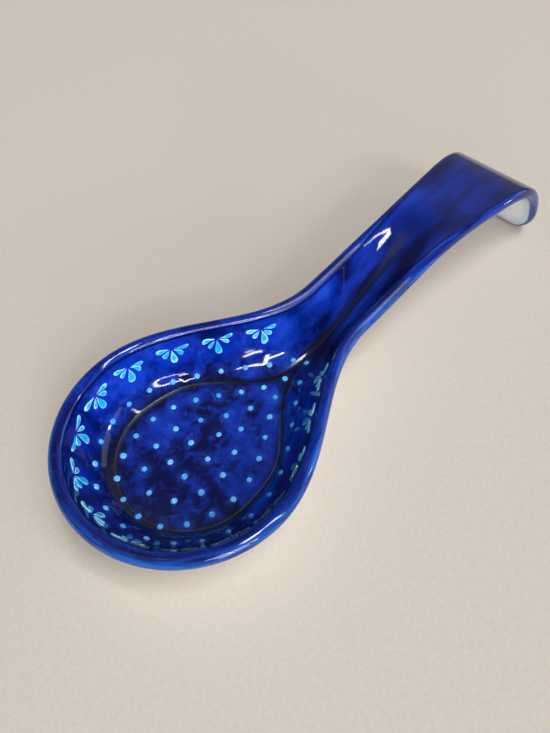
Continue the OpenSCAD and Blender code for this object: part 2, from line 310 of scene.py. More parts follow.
# %% Ends of the coats on the lip
blend_h = 3
seam_gap = 0.02
face_z, edge_z = ribs.face(1)[:, 2], ribs.edge_out()[:, 2]
reach_z = np.hypot(face_z, edge_z)
low_a = np.arctan2(-edge_z, -face_z) % (2 * math.pi)
clearance = ribs.middle(1)[:, 2] - coat_e * reach_z - wipe_h
wipe_a = np.arccos(np.clip((ribs.middle(1)[:, 2] - wipe_h) / (coat_e * reach_z), -1, 1))
lifted = ease(clearance / blend_h)
seam_a = low_a + (wrap_a - low_a) * lifted
blue_a = np.where(clearance < 0, low_a - wipe_a, seam_a)
white_a = np.where(clearance < 0, low_a + wipe_a, seam_a + seam_gap)
bare_a = (blue_a + white_a) / 2
print("ribs with a wiped edge:", int((clearance < 0).sum()))

# %% [markdown]
# ## Skins over the ribs
#
# A skin is a list of rows of points, one point for each rib. Faces go between a row and
# the next. In the middle, ribs that share one hub have to share its point too, or the
# skin would have a slit there: the front ribs, the tip ribs, and each rib and its mirror.

# %% Rows of points and the faces between them
ring = np.arange(ribs_n)
following = np.roll(ring, -1)
mate = np.minimum(ring, ribs_n - ring)
side_n = foot_n + gutter_n + bend_n
shared_hub = np.clip(mate, front_n, front_n + side_n)


def band(first, second, inner=False):
    faces = []
    for k in ring:
        n = following[k]
        corners = [first[n], second[n], second[k], first[k]]
        if inner:
            corners.reverse()
        face = list(dict.fromkeys(int(c) for c in corners))
        if len(face) > 2:
            faces.append(face)
    return faces


def numbered(rows, first=ring, last=ring):
    """Numbers of the points in each row, whose end rows may share some points."""
    ends = {0: first, len(rows) - 1: last}
    return [i * ribs_n + ends.get(i, ring) for i in range(len(rows))]


def skin(numbers, inner=False):
    faces = []
    for first, second in zip(numbers, numbers[1:]):
        faces += band(first, second, inner)
    return faces


# %% A mesh from points in millimetres
def volume(mesh):
    """Volume in cubic centimetres, which is negative where faces look inwards."""
    shape = bmesh.new()
    shape.from_mesh(mesh)
    amount = shape.calc_volume(signed=True) * 1e6
    shape.free()
    return round(amount, 2)


def solid(name, points, faces, shades=None, sharp=40):
    """A closed mesh with no loose points, whose shades are values for its finish."""
    points = np.asarray(points, float)
    used = np.unique(np.concatenate([np.asarray(f) for f in faces]))
    number = np.full(len(points), -1)
    number[used] = np.arange(len(used))
    mesh = bpy.data.meshes.new(name)
    mesh.from_pydata((points[used] / 1000).tolist(), [],
                     [[int(number[c]) for c in f] for f in faces])
    for shade, values in (shades or {}).items():
        layer = mesh.attributes.new(shade, "FLOAT", "POINT")
        layer.data.foreach_set("value", np.asarray(values, np.float32)[used])
    mesh.shade_smooth()
    mesh.set_sharp_from_angle(angle=math.radians(sharp))
    piece = bpy.data.objects.new(name, mesh)
    bpy.context.scene.collection.objects.link(piece)
    print(name, len(faces), "faces,", volume(mesh), "cm3")
    return piece


def dress(piece, finish, slot, *nodes):
    piece.data.materials.append(finish)
    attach(piece, "root")
    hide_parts(*nodes)


# %% Rows that all coats share
floor_n, wall_n, lip_n, under_n = 24, 26, 14, 8
wall_crowd = 1.3
least_floor = 0.2
row_floor = np.maximum(floor_at(ribs.hub), least_floor)
wall_shares = [row_floor + (1 - row_floor) * (i / wall_n) ** wall_crowd
               for i in range(wall_n + 1)]
top_shares = [row_floor * i / floor_n for i in range(floor_n)] + wall_shares
blue_turns = [blue_a * i / lip_n for i in range(1, lip_n + 1)]
white_turns = [white_a + (math.pi - white_a) * i / under_n for i in range(under_n)]
print(len(top_shares), "rows inside,", len(blue_turns), "round the lip")


def top_rows(offset):
    inside = [ribs.at(share, offset) for share in top_shares]
    return inside + [ribs.lip(turn, offset) for turn in blue_turns]


def under_rows(offset, shares):
    lip = [ribs.lip(turn, offset) for turn in white_turns]
    return lip + [ribs.at(share, -offset) for share in shares]


# %% [markdown]
# ## Places of the dots and sprigs
#
# The dots stand in four rings that repeat the teardrop of the bowl. A ring is a half
# oval at the front and two flanks that run to a point behind. The decorator steps along
# each ring at an even pitch. The outer ring climbs onto the wall.

# %% Rings of dots
dot_d = 2.6
ring_front_shares = [0.8, 0.64, 0.43, 0.22]
ring_side_shares = [0.76, 0.5, 0.3, 0.12]
ring_point_shares = [1.45, 1.06, 0.65, 0.29]
ring_phases = [0.15, 0, 0, 0]
ring_steps = [27, 21, 12, 5]
flank_power = 1.5
flank_n = 24


def ring_line(front, side, point):
    x = point * np.arange(flank_n, 0, -1) / flank_n
    y = side * np.maximum(np.cos(np.pi / 2 * x / point), 0) ** flank_power
    a = np.radians(90 + 180 * np.arange(flank_n + 1) / flank_n)
    return np.concatenate([np.stack([x, y], -1),
                           np.stack([front * np.cos(a), side * np.sin(a)], -1),
                           np.stack([x, -y], -1)[::-1]])


def run_lengths(line):
    return np.append(0, np.cumsum(np.linalg.norm(np.diff(line, axis=0), axis=1)))


def ring_places(j, first):
    line = ring_line(bowl_r * ring_front_shares[j], bowl_r * ring_side_shares[j],
                     bowl_r * ring_point_shares[j])
    run = run_lengths(line)
    d = (np.arange(first, ring_steps[j]) + ring_phases[j]) * run[-1] / ring_steps[j]
    return np.stack([np.interp(d, run, line[:, 0]), np.interp(d, run, line[:, 1])], -1)


wall_places = ring_places(0, first=1)
floor_places = np.concatenate([ring_places(j, first=0) for j in (1, 2, 3)])
print(len(floor_places), "dots on the floor,", len(wall_places), "on the wall")

# %% From a place in the flat to a point on the coat
def coat_points(places):
    places = np.asarray(places, float)
    x, y = places[:, 0], np.abs(places[:, 1])
    a = np.arctan2(y, x)
    front, side = front_ribs(a), side_ribs(np.maximum(x, 0))
    on_front = front.at(np.hypot(x, y) / front.length, coat_e)
    on_side = side.at(y / side.length, coat_e)
    points = np.where((x < 0)[:, None], on_front, on_side)
    points[:, 1] *= np.where(places[:, 1] < 0, -1, 1)
    return points


# %% [markdown]
# The sprigs hang in a row under the lip, evenly spaced along it. A place on the wall is
# held as a length along the rim and a drop from the lip, because that is how a decorator
# measures: so far along, so far down.

# %% Places on the wall
side_sprigs = 7
sprig_end = 52
sprig_drop = 4.75
quarter_l = (bowl_r - coat_e) * math.pi / 2
rim_t = np.linspace(0, sprig_end, 13)
rim_run = run_lengths(np.stack([rim_t, half_width(rim_t)], -1))


def wall_points(u, drop, side=1):
    """Points at a rim place u, which is negative round the front, and a drop."""
    u = np.atleast_1d(np.asarray(u, float))
    drop = np.broadcast_to(drop, u.shape)
    front = front_ribs(math.pi / 2 * (1 - u / quarter_l))
    flank = side_ribs(np.maximum(u, 0))
    points = []
    for rib_set in (front, flank):
        fall = rib_set.length * np.hypot(1, rib_set.steep(1)[:, 0])
        points.append(rib_set.at(1 - drop / fall, coat_e))
    chosen = np.where((u < 0)[:, None], points[0], points[1])
    return chosen * np.array([1, side, 1])


sprig_step = (quarter_l + rim_run[-1]) / side_sprigs
sprig_runs = np.arange(side_sprigs + 1) * sprig_step - quarter_l
sprig_places = np.where(sprig_runs < 0, sprig_runs, np.interp(sprig_runs, rim_run, rim_t))
print("a sprig every", round(sprig_step, 1), "mm of rim")

# %% [markdown]
# ## Shader arithmetic
#
# A glaze recipe is arithmetic: so much of one colour, times a mask, plus a little of
# another. Written with nodes it soon becomes hard to read. The class below wraps a
# socket and gives it plain operators, so that a recipe reads like a sum. Colours and
# vectors can't use these operators, because they would turn grey.

# %% A socket that can be calculated with
class Wire:
    """One output of a node. Sums on it add Math nodes."""

    def __init__(self, finish, socket):
        self.finish, self.socket = finish, socket

    def sum(self, operation, *values):
        return self.finish.node("Math", {"operation": operation}, dict(enumerate(values)))

    def __add__(self, other):
        return self.sum("ADD", self, other)

    def __sub__(self, other):
        return self.sum("SUBTRACT", self, other)

    def __rsub__(self, other):
        return self.sum("SUBTRACT", other, self)

    def __mul__(self, other):
        return self.sum("MULTIPLY", self, other)

    __radd__ = __add__
    __rmul__ = __mul__

    def size(self):
        return self.sum("ABSOLUTE", self)

    def rise(self, low, high):
        """A soft step from 0 at low to 1 at high, which may be the smaller one."""
        return self.finish.node("MapRange", {"interpolation_type": "SMOOTHSTEP"},
                                {0: self, 1: low, 2: high})


# %% A finish, which is a material under construction
def colour(code):
    """A colour written as on the web, as the linear values that a shader takes."""
    shares = [int(code[i:i + 2], 16) / 255 for i in (1, 3, 5)]
    return [s / 12.92 if s <= 0.04045 else ((s + 0.055) / 1.055) ** 2.4
            for s in shares] + [1]


class Finish:
    """Builds a material, or the sky, from nodes, with short names for the usual ones."""

    def __init__(self, owner):
        owner.use_nodes = True
        self.owner, self.tree = owner, owner.node_tree
        self.tree.nodes.clear()

    def node(self, kind, settings=None, sockets=None, take=0):
        made = self.tree.nodes.new("ShaderNode" + kind)
        for name, value in (settings or {}).items():
            setattr(made, name, value)
        for name, value in (sockets or {}).items():
            if isinstance(value, Wire):
                self.tree.links.new(value.socket, made.inputs[name])
            else:
                made.inputs[name].default_value = value
        return Wire(self, made.outputs[take]) if made.outputs else None

    def shade(self, name):
        return self.node("Attribute", {"attribute_name": name}, take=2)

    def place(self):
        """Where a point lies on the object, in millimetres."""
        here = self.node("TexCoord", take=3)
        return self.node("VectorMath", {"operation": "SCALE"}, {0: here, 3: 1000})

    def bundle(self, x, y, z):
        return self.node("CombineXYZ", sockets={0: x, 1: y, 2: z})

    def cloud(self, vector, size, detail=2, wander=0, coarse=0.5):
        """Soft noise from 0 to 1, whose patches are about size across."""
        return self.node("TexNoise", sockets={
            "Vector": vector, "Scale": 1 / size, "Detail": detail,
            "Roughness": coarse, "Distortion": wander})

    def mix(self, share, first, second):
        return self.node("Mix", {"data_type": "RGBA"}, {0: share, 6: first, 7: second}, 2)

    def bump(self, height, distance):
        return self.node("Bump", sockets={"Height": height, "Distance": distance / 1000})

    def surface(self, **sockets):
        named = {name.replace("_", " "): value for name, value in sockets.items()}
        shader = self.node("BsdfPrincipled", sockets=named)
        self.node("OutputMaterial", sockets={"Surface": shader})
        print(self.owner.name, "has", len(self.tree.nodes), "nodes")
        return self.owner


def new_finish(name):
    return Finish(bpy.data.materials.new(name))


# %% [markdown]
# ## Cobalt glaze
#
# Cobalt is strong: where the glaze pools it fires to a near black navy, where it is thin
# it is a clear blue, and every brush mark stays in it. One noise would look like marble.
# The recipe lays four things over each other instead: broad pools, smaller clouds inside
# them, thin bright veins between dabs of the brush, and long strokes down the handle.
# Dots and sprigs have a lighter cloud round them, where slip has bled into the glaze.
# The near wall is painted darker, as shade, and the glaze is darker at the front end. A
# band along the foot of the wall is painted darker, as shade, too. The glaze is glossy
# but for two narrow strips: along the dark line at the foot of the wall, where it
# crawled, and on the lip of the neck, where the piece is held.

# %% Colours of the cobalt glaze
navy = colour("#030b46")
cobalt = colour("#082a96")
clear_blue = colour("#2452cc")
violet_blue = colour("#3440ae")
bled_blue = colour("#0c2fc0")
edge_blue = colour("#1d5aae")
# The next colour is painted shade, for a band at the foot of the wall.
foot_shade_blue = colour("#070b22")
ink = colour("#020414")
gloss_ior = 1.52
# The near wall, on the side that this way points to, is painted darker, as shade.
near_side_way = (-0.342, -0.94, 0)
near_shade_start, near_shade_full = 20, 32


def shade_on_near_side(f, place):
    """1 on the near wall, which is painted darker as shade, and 0 away from it."""
    way = f.node("VectorMath", {"operation": "DOT_PRODUCT"}, {0: place, 1: near_side_way}, take=1)
    return way.rise(near_shade_start, near_shade_full)


# %% [markdown]
# The recipe is written in parts. First it reads the point: its place, its shades and the
# noises there. Then it works out how thin the glaze lies, for the bowl and for the
# handle, which has a brighter side, a middle darkened by a painted dim reflection, a soft
# cloud before the hook and a tip darkened as painted shade. That thinness, with the
# painted shade, becomes a colour, and the lip comes last, because the glaze breaks to a
# lighter blue over its edges. Lengths are in millimetres, and shares run from 0 to 1.

# %% What the recipe reads at a point
class Reading:
    """Place, shades and noises of a point, shared by all parts of the recipe."""

    def __init__(self, f, place):
        self.mix, self.near_shade = f.mix, shade_on_near_side(f, place)
        self.run, self.lip, self.path = f.shade("run"), f.shade("lip"), f.shade("path")
        self.dots, self.sprigs = f.shade("dots"), f.shade("sprigs")
        self.crease = f.shade("crease").size()
        self.forward = f.node("SeparateXYZ", sockets={0: place}, take=0)
        self.across = f.node("SeparateXYZ", sockets={0: place}, take=1)
        self.on_handle = self.path.rise(50, 92)
        self.pools = f.cloud(place, 26, wander=0.5)
        self.clouds = f.cloud(place, 12, detail=3, wander=0.9)
        self.dabs = f.cloud(place, 5, detail=3, wander=1.2, coarse=0.6)
        self.veins = 1 - (f.cloud(place, 13, detail=3, wander=1.1) - 0.5).size() * 26
        drawn = f.bundle(self.path * 0.22, self.across, 0)
        self.strokes = f.cloud(drawn, 7, detail=3, wander=0.4)
        round_lip = f.bundle(self.run * 0.1, self.lip, 0)
        self.brushed = f.cloud(round_lip, 2.2, detail=4, wander=0.3, coarse=0.65)


# %% How thin the glaze lies, with painted shade on the handle
def thin_in_bowl(p):
    on_wall = p.lip.rise(-17, -11) * (1 - p.on_handle)
    front_pool = p.forward.rise(-12, -26)
    mottled = p.pools * 0.3 + p.clouds * 0.45 + p.dabs * 0.25
    return mottled + on_wall * 0.04 - front_pool * 0.11


def thin_and_shade_down_handle(p):
    past_neck = p.path.rise(100, 130)
    # The tip of the hook is darkened as painted shade.
    tip_shadow = p.path.rise(150, 190) * 0.05
    bright_side = p.across.rise(-4, 6) * p.path.rise(60, 85) * p.path.rise(112, 90) * 0.06
    # Painted dim reflection: the middle of the handle is darker.
    middle = p.across.rise(11, 7) * p.across.rise(-14, -6)
    middle_dim_reflection = middle * p.path.rise(80, 100) * p.path.rise(165, 135) * 0.06
    end_cloud = p.across.rise(-12, 2) * p.path.rise(128, 140) * p.path.rise(158, 146) * 0.05
    drawn_out = 0.52 + (p.strokes - 0.5) * (0.9 - past_neck * 0.73) + (p.pools - 0.5) * 0.14
    return drawn_out + bright_side + end_cloud - middle_dim_reflection - tip_shadow


# %% The glaze away from the lip
def body_colour(p):
    # On the handle this sum also carries painted shade and a painted dim reflection.
    thinness_and_shade = thin_in_bowl(p) * (1 - p.on_handle) + thin_and_shade_down_handle(p) * p.on_handle
    tone = p.mix(thinness_and_shade.rise(0.44, 0.58), navy, cobalt)
    tone = p.mix(thinness_and_shade.rise(0.56, 0.7) * 0.55, tone, clear_blue)
    veined = p.veins.rise(0.2, 1) * p.dabs.rise(0.42, 0.6) * (1 - p.on_handle) * 0.4
    tone = p.mix(veined, tone, violet_blue)
    tone = p.mix(p.sprigs * 0.75, tone, bled_blue)
    tone = p.mix(p.dots * p.dabs.rise(0.35, 0.6) * 0.6, tone, clear_blue)
    under_lip = p.lip.rise(-5, -3) * p.lip.rise(0.5, -1.5) * p.pools.rise(0.6, 0.4) * 0.7
    tone = p.mix(under_lip, tone, navy)
    # The near wall is painted darker, as shade.
    near_wall_shade = p.near_shade * p.lip.rise(-20, -14) * p.lip.rise(2, -1) * 0.6
    tone = p.mix(near_wall_shade, tone, navy)
    # A band on both sides of the dark line, at the foot of the wall, is painted darker, as
    # shade.
    wall_foot_shade = (p.crease + (p.clouds - 0.5) * 5).rise(5.5, 1) * 0.75
    tone = p.mix(wall_foot_shade, tone, foot_shade_blue)
    dark_line = (p.crease + (p.dabs - 0.5) * 1.2).rise(0.9, 0.3) * 0.9
    return p.mix(dark_line, tone, ink)


# %% The glaze on the lip
def lip_colour(p, body):
    streaks = p.mix(p.brushed.rise(0.4, 0.6), navy, cobalt)
    tone = p.mix(p.lip.rise(-1, 0.5) * 0.6, body, streaks)
    crest = (p.lip + 0.1).size().rise(0.9, 0.2) * 0.85
    tone = p.mix(crest, tone, navy)
    inner_edge = (p.lip - 1.1 - (p.dabs - 0.5) * 2).size().rise(0.6, 0.1)
    tone = p.mix(inner_edge * p.brushed.rise(0.4, 0.62) * 0.5, tone, edge_blue)
    before_tip = 1 - p.path.rise(160, 185) * 0.7
    outer_edge = p.lip.rise(3.2, 5.2) * p.brushed.rise(0.34, 0.62) * before_tip
    return p.mix(outer_edge * 0.85, tone, edge_blue)


def cobalt_colour(f, place):
    point = Reading(f, place)
    return lip_colour(point, body_colour(point))


# %% The finish of the blue coat
def blue_glaze_finish():
    f = new_finish("blue_coat")
    place = f.place()
    crease, path, lip = f.shade("crease"), f.shade("path"), f.shade("lip")
    crawled = crease.rise(1, 0) * crease.rise(-2.6, -1.4) * path.rise(45, 20)
    handled = lip.rise(-0.5, 0.3) * path.rise(52, 64) * path.rise(108, 100)
    ripples = f.cloud(place, 14, detail=1)
    return f.surface(Base_Color=cobalt_colour(f, place), IOR=gloss_ior,
                     Roughness=0.06 + crawled * 0.49 + handled * 0.26,
                     Normal=f.bump(ripples, 0.07))


# %% [markdown]
# ## The blue coat
#
# The coat is a real skin, 0.4 mm thick, that lies on the clay all over the upper side
# and runs round the lip. It could be a colour painted on the clay, but the edge of a
# glaze shows, so it has its own mesh. Each point also keeps a few shades for the recipe:
# how far it lies along the rim, above or below the lip and down the handle, and how near
# the next dot or sprig is.

# %% Shades of a point
dot_bleed, sprig_bleed = 2.4, 6
sprig_middle = 4
line_fade, line_fade_start, line_fade_end = 12, 108, 150
far_off = 99.0


def nearness(points, centres, reach):
    gaps = np.full(len(points), np.inf)
    for centre in centres:
        gaps = np.minimum(gaps, np.linalg.norm(points - centre, axis=1))
    return np.exp(-(gaps / reach) ** 2)


round_run = run_lengths(ribs.middle(1))
signed_run = np.where(ring <= ribs_n // 2, round_run,
                      round_run - round_run[-1] - round_run[1])
wall_fall = ribs.length * np.hypot(1, ribs.steep(1)[:, 0])

dot_points = coat_points(np.concatenate([floor_places, wall_places]))
sprig_points = np.concatenate([wall_points(sprig_places, sprig_drop + sprig_middle, side)
                               for side in (1, -1)])


def shades_of(rows, lips, creases):
    points = np.concatenate(rows)
    paths = [np.where(row[:, 0] < 0, row[:, 0], np.interp(row[:, 0], line_x, line_t))
             for row in rows]
    return {"run": np.tile(signed_run, len(rows)),
            "lip": np.concatenate(lips),
            "path": np.concatenate(paths),
            "dots": nearness(points, dot_points, dot_bleed),
            "sprigs": nearness(points, sprig_points, sprig_bleed),
            "crease": np.concatenate(creases)}


# %% Where the points of the blue coat lie from the lip and from the dark line
def top_lips():
    """How far a point lies from the lip, less than 0 on the way down to the floor."""
    inside = [-(1 - share) * wall_fall for share in top_shares]
    return inside + [turn * coat_e for turn in blue_turns]


def top_creases():
    """How far a point lies from the dark line, less than 0 on the side of the floor."""
    line = line_share * narrowing(ribs.hub)
    fade = line_fade * ramp(ribs.hub, line_fade_start, line_fade_end)
    gaps = [(share - line) * ribs.length + fade for share in top_shares]
    return gaps + [np.full(ribs_n, far_off)] * lip_n


# %% The coat itself
outer, inner = top_rows(coat_e), top_rows(clay_e)
numbers = numbered(outer, first=shared_hub)
inner_numbers = [n + len(outer) * ribs_n for n in numbers]
blue_shades = shades_of(outer + inner, top_lips() * 2, top_creases() * 2)
blue_points = np.concatenate(outer + inner)
blue_faces = skin(numbers)
coat_tree = BVHTree.FromPolygons(blue_points.tolist(), blue_faces)
blue_faces += skin(inner_numbers, inner=True) + band(numbers[-1], inner_numbers[-1])
blue_coat = solid("blue_coat_skin", blue_points, blue_faces, blue_shades)
dress(blue_coat, blue_glaze_finish(), "blue_coat", "blue_glaze")

# %% [markdown]
# ## The clay
#
# Under the coats is the clay, closed on itself. It shows only on the wiped strip of the
# tip and beside the foot ring, so a plain chalky finish with fine specks is enough.

# %% Bare clay
chalk, chalk_stain = colour("#e4dccb"), colour("#d0c3ad")
foot_chalk, foot_stain = colour("#d9cdb6"), colour("#c4b498")
speck_brown = colour("#8d7a62")


def clay_finish(name, base, stained):
    f = new_finish(name)
    place = f.place()
    specks = f.cloud(place, 0.5, detail=3)
    stain = f.cloud(place, 9, detail=3)
    tone = f.mix(stain.rise(0.35, 0.7) * 0.6, base, stained)
    tone = f.mix(specks.rise(0.62, 0.72) * 0.5, tone, speck_brown)
    return f.surface(Base_Color=tone, Roughness=0.85, Normal=f.bump(specks, 0.06))


clay_rows = top_rows(clay_e) + [ribs.lip(bare_a, clay_e)]
clay_rows += under_rows(clay_e, wall_shares[::-1]) + [ribs.at(0, -clay_e)]
clay_numbers = numbered(clay_rows, first=shared_hub, last=shared_hub)
clay = solid("pressed_clay", np.concatenate(clay_rows), skin(clay_numbers))
dress(clay, clay_finish("clay", chalk, chalk_stain), "clay", "clay_body")

# %% [markdown]
# ## The white coat
#
# The underside has a clear glaze over white. The blue runs down into its upper edge in
# uneven tongues, which is how one sees that both were wet together. The coat stops short
# of the foot ring, and a separate round of it lies inside the ring.

# %% A profile spun round the upright axis
turn_sides = 128


def tube(starts, sides):
    """Faces between rings of points, each ring given by the number of its first point."""
    k, n = np.arange(sides), np.roll(np.arange(sides), -1)
    faces = []
    for low, high in zip(starts, starts[1:]):
        faces += np.stack([low + k, low + n, high + n, high + k], -1).tolist()
    return faces


def turned(profile):
    a = 2 * np.pi * np.arange(turn_sides) / turn_sides
    points = np.concatenate([np.stack([r * np.cos(a), r * np.sin(a), 0 * a + z], -1)
                             for r, z in profile])
    starts = turn_sides * np.append(np.arange(len(profile)), 0)
    return points, tube(starts, turn_sides)


# %% White glaze with the blue bleeding into it
milk_white, cool_white = colour("#f4f6f5"), colour("#e9eef1")
bled_white = colour("#8fc0ec")


def white_glaze_finish():
    f = new_finish("white_coat")
    place = f.place()
    run, lip = f.shade("run"), f.shade("lip")
    tongues = f.cloud(f.bundle(run * 0.5, lip * 0.15, 0), 3, detail=3, coarse=0.6)
    past_seam = lip - coat_e * wrap_a
    blue = past_seam + (tongues - 0.5) * 1.4
    white = f.mix(f.cloud(place, 30, detail=3).rise(0.4, 0.65), milk_white, cool_white)
    white = f.mix(blue.rise(7, 1) * 0.5, white, bled_white)
    tone = f.mix(blue.rise(1.6, 0.4), white, cobalt_colour(f, place))
    return f.surface(Base_Color=tone, Roughness=0.1, IOR=gloss_ior,
                     Normal=f.bump(f.cloud(place, 9), 0.12))


# %% The white coat
stop_share = np.where(ribs.hub < stop_r,
                      np.sqrt(np.maximum(stop_r ** 2 - ribs.hub ** 2, 0)) / ribs.length, 0)
stop_n = 6
white_shares = wall_shares[:0:-1] + [row_floor + (stop_share - row_floor) * i / stop_n
                                     for i in range(stop_n + 1)]
white_lips = [turn * coat_e for turn in white_turns]
white_lips += [math.pi * coat_e + (1 - share) * wall_fall for share in white_shares]
outer, inner = under_rows(coat_e, white_shares), under_rows(clay_e, white_shares)
foot_k = front_n + foot_n
stop_ring = np.where(mate >= foot_k, shared_hub, ring)
numbers = numbered(outer, last=stop_ring)
inner_numbers = [n + len(outer) * ribs_n for n in numbers]
faces = skin(numbers) + skin(inner_numbers, inner=True)
faces += band(inner_numbers[0], numbers[0])
foot_wall = band(numbers[-1], inner_numbers[-1])
faces += [f for f in foot_wall if all(mate[c % ribs_n] <= foot_k for c in f)]
white_points = np.concatenate(outer + inner)
white_shades = shades_of(outer + inner, white_lips * 2,
                         [np.full(ribs_n, far_off)] * len(outer + inner))

# %% The round of glaze inside the foot ring
disc_r, disc_edge = foot_r - foot_w - foot_wipe, 0.25
disc_flat, disc_middle = 1, 0.01
bend = np.radians(np.linspace(0, 90, 6))
disc_profile = [(disc_r, foot_h)]
disc_profile += [(disc_r - disc_edge * (1 - math.cos(a)),
                  foot_h - glaze_t + disc_edge * (1 - math.sin(a))) for a in bend]
disc_profile += [(r, foot_h - glaze_t)
                 for r in np.linspace(disc_r - disc_flat, disc_middle, 16)]
disc_profile += [(disc_middle, foot_h)]
disc_points, disc_faces = turned(disc_profile)
faces += [[c + len(white_points) for c in f[::-1]] for f in disc_faces]
white_points = np.concatenate([white_points, disc_points])
disc_shades = dict.fromkeys(white_shades, 0) | {"lip": far_off, "crease": far_off}
white_shades = {name: np.append(values, np.full(len(disc_points), disc_shades[name]))
                for name, values in white_shades.items()}
white_coat = solid("white_coat_skin", white_points, faces, white_shades)
dress(white_coat, white_glaze_finish(), "white_coat", "white_glaze")

# %% [markdown]
# ## Turned pieces
#
# The foot ring is turned on the wheel, so it is a profile spun round an axis. The round
# of glaze inside it is made the same way, with a soft edge where the glaze draws back.

# %% The foot ring
line_pitch, line_depth = 0.42, 0.035
ring_rise = 0.6
inner_r = foot_r - foot_w
z_side = np.linspace(foot_h, ring_rise, 12)
r_face = np.linspace(foot_r - ring_rise, inner_r + ring_rise, 90)
grooves = line_depth * (1 - np.cos(2 * np.pi * r_face / line_pitch)) / 2
corner = np.radians(np.linspace(0, 90, 7))[1:-1]
profile = [(foot_r, z) for z in z_side]
profile += [(foot_r - ring_rise * (1 - math.cos(a)), ring_rise * (1 - math.sin(a)))
            for a in corner]
profile += list(zip(r_face, grooves))
profile += [(inner_r + ring_rise * (1 - math.sin(a)), ring_rise * (1 - math.cos(a)))
            for a in corner]
profile += [(inner_r, z) for z in z_side[::-1]]
points, faces = turned(profile)
foot = solid("turned_foot", points, [f[::-1] for f in faces], sharp=60)
dress(foot, clay_finish("foot_clay", foot_chalk, foot_stain), "foot_clay", "foot_ring")

# %% [markdown]
# ## Raised slip
#
# The decorator sets every dot and petal with a slip trailer, which leaves a low mound
# with a fuller edge and a middle that sinks as it dries. Discs on a flat plane would cut
# into the curved wall, so every point of a mark is dropped onto the coat first and then
# raised by the height of the slip there.

# %% One mark of slip
ring_shares = np.linspace(1, 0.1, 9)
sink = 0.1
seek = 4
probe = 0.05
sunk_share = 0.65


def unit(v):
    return v / np.linalg.norm(v)


def slip_mark(origin, east, north, outline, height):
    """Points, faces and edge shares of a closed mound on the coat."""
    up = np.cross(east, north)
    layers = [(1, -sink), *((s, height(s)) for s in ring_shares), (0, height(0)), (0, -sink)]
    points, edges = [], []
    for share, rise in layers:
        spots = outline * share if share else np.zeros((1, 2))
        for x, y in spots:
            start = origin + x * east + y * north + seek * up
            hit = coat_tree.ray_cast(Vector(start), Vector(-up))[0]
            points.append(np.array(hit) + rise * up)
            edges.append(share)
    n = len(outline)
    starts = n * np.arange(len(ring_shares) + 1)
    faces = tube(starts, n)
    top, bottom, last = len(points) - 2, len(points) - 1, int(starts[-1])
    faces += [[top, last + i, last + (i + 1) % n] for i in range(n)]
    faces += [[bottom, (i + 1) % n, i] for i in range(n)]
    return points, faces, edges


# %% Many marks in one mesh
draw = np.random.default_rng(7)


def marks_piece(name, marks):
    """One mesh of all marks, each with its own tone from the seeded draw."""
    points, faces, edges, tones = [], [], [], []
    mark_tones = draw.uniform(0, 1, len(marks))
    for (mark_points, mark_faces, mark_edges), tone in zip(marks, mark_tones):
        faces += [[c + len(points) for c in face] for face in mark_faces]
        points += mark_points
        edges += mark_edges
        tones += [tone] * len(mark_points)
    return solid(name, points, faces, {"edge": edges, "tone": tones}, sharp=60)


# %% [markdown]
# ## Dots
#
# A dot is round, but no two are alike, so each gets its own size and tone from the seeded
# draw. Its colour runs from the blue of the glaze at the skirt to pale slip on the ring,
# and is a little deeper again in the sunk middle.

# %% Pale slip under the glaze
slip_blue, slip_pale = colour("#3ca4f2"), colour("#78ccfc")
slip_sunk, slip_skirt = colour("#2f7fdc"), colour("#1d3fc0")
# The next colour is painted shade, for dots on the near wall.
slip_in_shade = colour("#17307c")


def pale_slip_finish():
    f = new_finish("pale_slip")
    place = f.place()
    edge, tone = f.shade("edge"), f.shade("tone")
    slip = f.mix(tone, slip_blue, slip_pale)
    slip = f.mix(edge.rise(0.35, 0) * 0.6, slip, slip_sunk)
    uneven = edge + (f.cloud(place, 0.9) - 0.5) * 0.35
    slip = f.mix(uneven.rise(0.75, 1.05), slip, slip_skirt)
    # Dots on the near wall are painted darker, as shade.
    slip = f.mix(shade_on_near_side(f, place) * 0.6, slip, slip_in_shade)
    return f.surface(Base_Color=slip, Roughness=0.08, IOR=gloss_ior)


# %% The dots
dot_rise = 0.6
dot_size_range, dot_squeeze_range = (0.88, 1.04), (0.9, 1.05)
dot_sides = 28
dot_a = 2 * np.pi * np.arange(dot_sides) / dot_sides


def dot_height(share):
    full = sunk_share + (1 - sunk_share) * math.sin(math.pi * share) ** 2
    return dot_rise * (1 - share ** 4) * full


def dot_mark(place):
    x, y = place
    near = coat_points([(x, y), (x + probe, y), (x - probe, y), (x, y + probe),
                        (x, y - probe)])
    up = unit(np.cross(near[1] - near[2], near[3] - near[4]))
    east = unit(np.cross(sideways, up))
    north = np.cross(up, east)
    size = dot_d / 2 * draw.uniform(*dot_size_range)
    squeeze = draw.uniform(*dot_squeeze_range)
    outline = size * np.stack([np.cos(dot_a), squeeze * np.sin(dot_a)], -1)
    return slip_mark(near[0], east, north, outline, dot_height)


for name, node, places in (("floor_slip_dots", "floor_dots", floor_places),
                           ("wall_slip_dots", "wall_dots", wall_places)):
    marks = [dot_mark(place) for place in places]
    piece = marks_piece(name, marks)
    dress(piece, pale_slip_finish(), "pale_slip", node)

# %% [markdown]
# ## Sprigs
#
# A sprig is five petals that meet at a root near the lip: a broad one down the wall, a
# short one on each side of it and a long one on each side along the lip. It is a common
# pottery motif, set with five touches of the trailer. A petal is a drop: an oval that
# closes to a point at the root. No hand sets two alike, so the seeded draw gives each
# sprig its lean and each petal its length, width, lean and bend. The slip is turquoise
# and turns nearly white at its edge.

# %% The finish of the petals
turquoise, turquoise_edge = colour("#12a6dc"), colour("#a2eefa")
